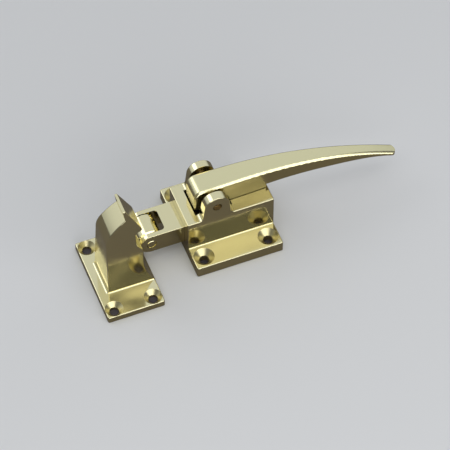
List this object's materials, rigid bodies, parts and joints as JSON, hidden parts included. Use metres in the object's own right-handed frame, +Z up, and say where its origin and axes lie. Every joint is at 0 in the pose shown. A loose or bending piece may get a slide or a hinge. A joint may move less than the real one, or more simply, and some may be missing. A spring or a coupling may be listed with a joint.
{
  "type": "icebox latch",
  "caption": "Cast brass icebox latch with a lever that draws back a sprung roller-nosed bolt, and a separate hooked strike with its own screw plate.",
  "frame": {"origin": "centre of the latch's four screw holes, on the underside of its screw plate", "axes": "+X from the strike towards the lever's tip, along the bolt's travel; +Z up from the mounting face; +Y across the latch"},
  "size_m": [0.1504, 0.0569, 0.0527],
  "materials": {
    "polished_brass": "polished",
    "pin_brass": "turned",
    "spring_steel": "drawn wire"
  },
  "bodies": {
    "housing": {"latch_housing": "polished_brass", "lever_pin": "pin_brass", "strike": "polished_brass"},
    "lever": {"lever": "polished_brass"},
    "bolt": {"bolt": "polished_brass", "roller_pin": "pin_brass", "bolt_spring": "spring_steel"},
    "roller": {"roller": "polished_brass"}
  },
  "joints": [
    {"name": "lever_pivot", "type": "hinge", "parent": "housing", "child": "lever", "pos_m": [-0.0064, 0, 0.0299], "axis": [0, -1, 0], "range_deg": [0, 32]},
    {"name": "bolt_slide", "type": "slide", "parent": "housing", "child": "bolt", "axis": [1, 0, 0], "range_m": [0, 0.0086], "deforming": ["bolt_spring"]},
    {"name": "roller_spin", "type": "hinge", "parent": "bolt", "child": "roller", "pos_m": [-0.036, 0, 0.01167], "axis": [0, 1, 0], "continuous": true}
  ],
  "couplings": [
    {"joint": "bolt_slide", "follows": "lever_pivot", "m_per_rad": 0.01526}
  ]
}
